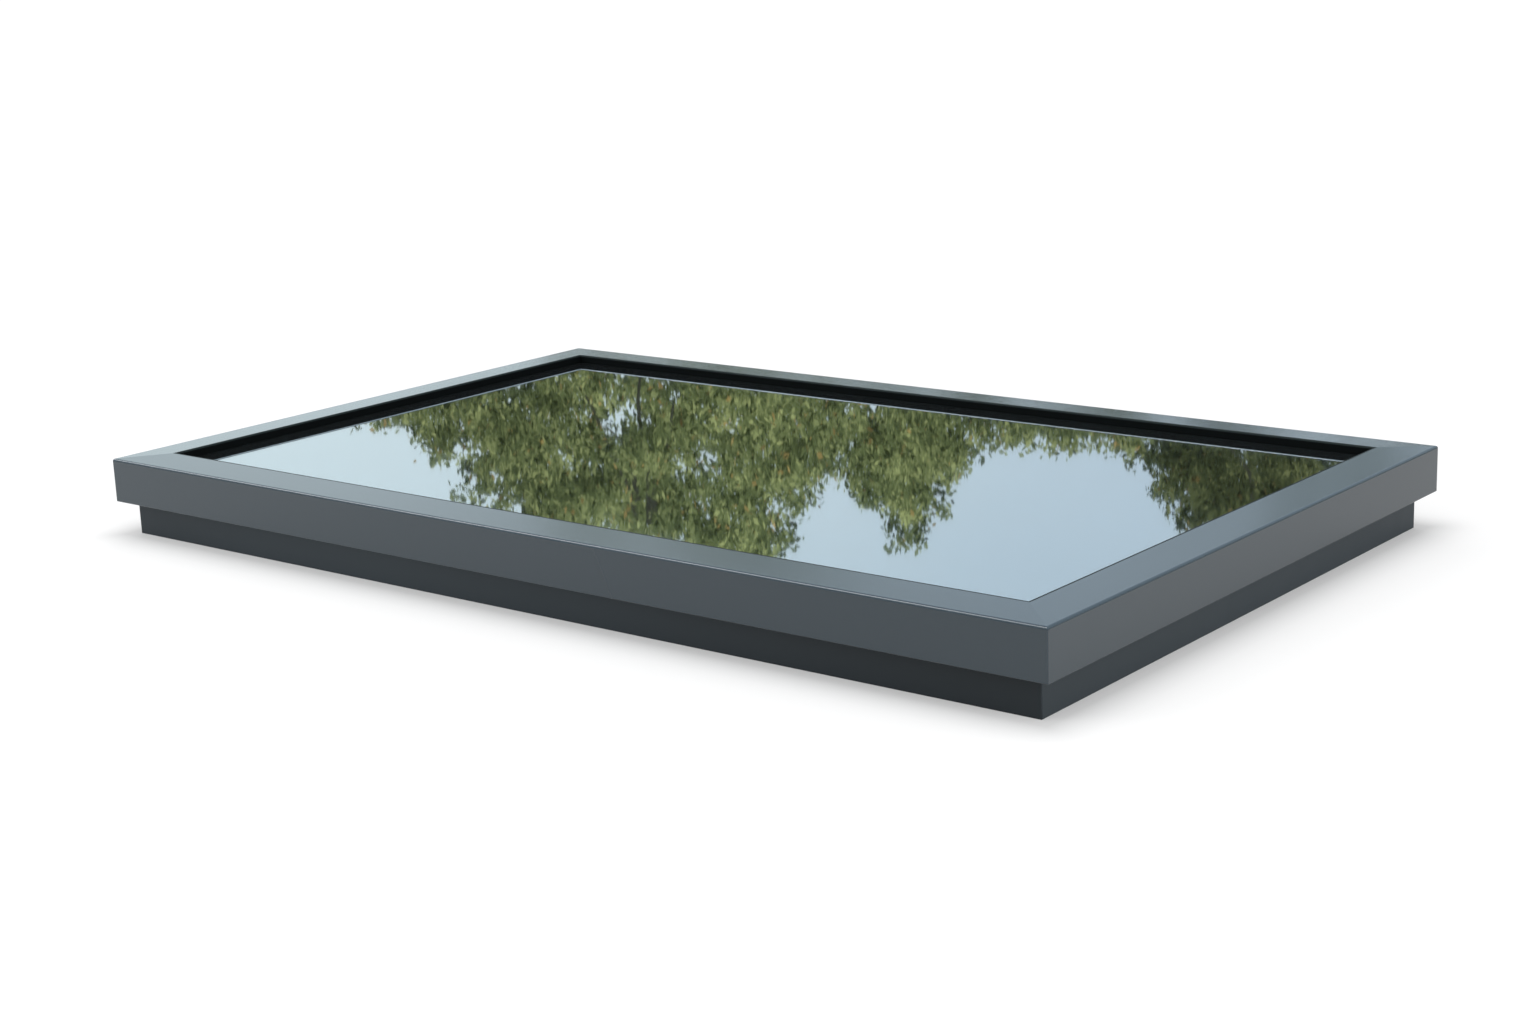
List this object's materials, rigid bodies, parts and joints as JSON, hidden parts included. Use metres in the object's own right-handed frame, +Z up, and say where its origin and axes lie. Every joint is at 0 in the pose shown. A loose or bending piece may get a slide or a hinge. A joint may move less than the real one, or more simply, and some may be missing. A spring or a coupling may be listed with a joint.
{
  "type": "roof skylight",
  "caption": "Low fixed flat-roof skylight: an anthracite aluminium cap frame with a sloping flange over a recessed base frame, holding dark reflective double glazing.",
  "frame": {"origin": "centre of the unit on the underside of the base frame, where it rests on the roof kerb", "axes": "+X along the width, left to right; +Y from front to back; +Z up towards the sky"},
  "size_m": [1.6, 1, 0.1171],
  "materials": {
    "cap_coating": "satin anthracite powder coat",
    "base_coating": "satin anthracite powder coat",
    "mill_aluminium": "mill finish",
    "polyamide": "glass-filled, matt",
    "gasket_rubber": "matt",
    "foam_tape": "closed-cell foam",
    "edge_sealant": "matt",
    "block_plastic": "moulded",
    "screw_steel": "stainless",
    "tinted_glass": "polished, solar-control tint",
    "inner_glass": "polished"
  },
  "bodies": {
    "root": {"cap_rail_front": "cap_coating", "cap_rail_right": "cap_coating", "cap_rail_back": "cap_coating", "cap_rail_left": "cap_coating", "outer_rail_front": "base_coating", "outer_rail_right": "base_coating", "outer_rail_back": "base_coating", "outer_rail_left": "base_coating", "inner_rail_front": "base_coating", "inner_rail_right": "base_coating", "inner_rail_back": "base_coating", "inner_rail_left": "base_coating", "upper_break_front": "polyamide", "upper_break_right": "polyamide", "upper_break_back": "polyamide", "upper_break_left": "polyamide", "lower_break_front": "polyamide", "lower_break_right": "polyamide", "lower_break_back": "polyamide", "lower_break_left": "polyamide", "glazing_gasket_front": "gasket_rubber", "glazing_gasket_right": "gasket_rubber", "glazing_gasket_back": "gasket_rubber", "glazing_gasket_left": "gasket_rubber", "glazing_tape_front": "foam_tape", "glazing_tape_right": "foam_tape", "glazing_tape_back": "foam_tape", "glazing_tape_left": "foam_tape", "skirt_seal_front": "foam_tape", "skirt_seal_right": "foam_tape", "skirt_seal_back": "foam_tape", "skirt_seal_left": "foam_tape", "base_seal_front": "foam_tape", "base_seal_right": "foam_tape", "base_seal_back": "foam_tape", "base_seal_left": "foam_tape", "cap_cleat_front_left": "mill_aluminium", "cap_cleat_front_right": "mill_aluminium", "cap_cleat_back_right": "mill_aluminium", "cap_cleat_back_left": "mill_aluminium", "outer_cleat_front_left": "mill_aluminium", "outer_cleat_front_right": "mill_aluminium", "outer_cleat_back_right": "mill_aluminium", "outer_cleat_back_left": "mill_aluminium", "inner_cleat_front_left": "mill_aluminium", "inner_cleat_front_right": "mill_aluminium", "inner_cleat_back_right": "mill_aluminium", "inner_cleat_back_left": "mill_aluminium", "outer_pane": "tinted_glass", "inner_pane": "inner_glass", "spacer_frame": "mill_aluminium", "edge_sealant": "edge_sealant", "edge_blocks": "block_plastic", "setting_packers": "block_plastic", "cap_screws": "screw_steel"}
  },
  "joints": []
}
